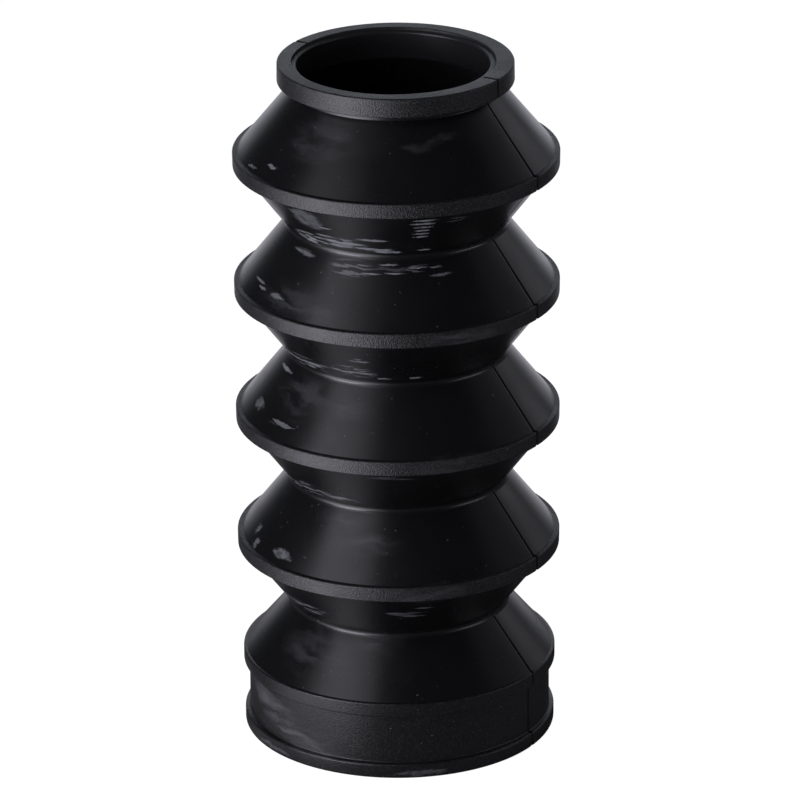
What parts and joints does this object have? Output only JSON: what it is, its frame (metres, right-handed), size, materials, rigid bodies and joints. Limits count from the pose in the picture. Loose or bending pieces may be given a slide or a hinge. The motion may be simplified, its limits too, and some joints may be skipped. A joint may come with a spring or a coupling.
{
  "type": "rubber bellows boot",
  "caption": "Moulded rubber bellows boot: a thick rim grips a fork tube, ringed folds flex along its length, and a plain flanged collar slips over the lower leg.",
  "frame": {"origin": "centre of the base, where the axis meets the underside of the collar's flange", "axes": "+Z along the boot's axis from the collar to the rim; the mould's parting line lies in the XZ plane"},
  "size_m": [0.065, 0.065, 0.141],
  "materials": {
    "moulded_rubber": "black moulded rubber, satin folds between fine-textured matt rings"
  },
  "bodies": {
    "root": {"bellows_boot": "moulded_rubber"}
  },
  "joints": []
}
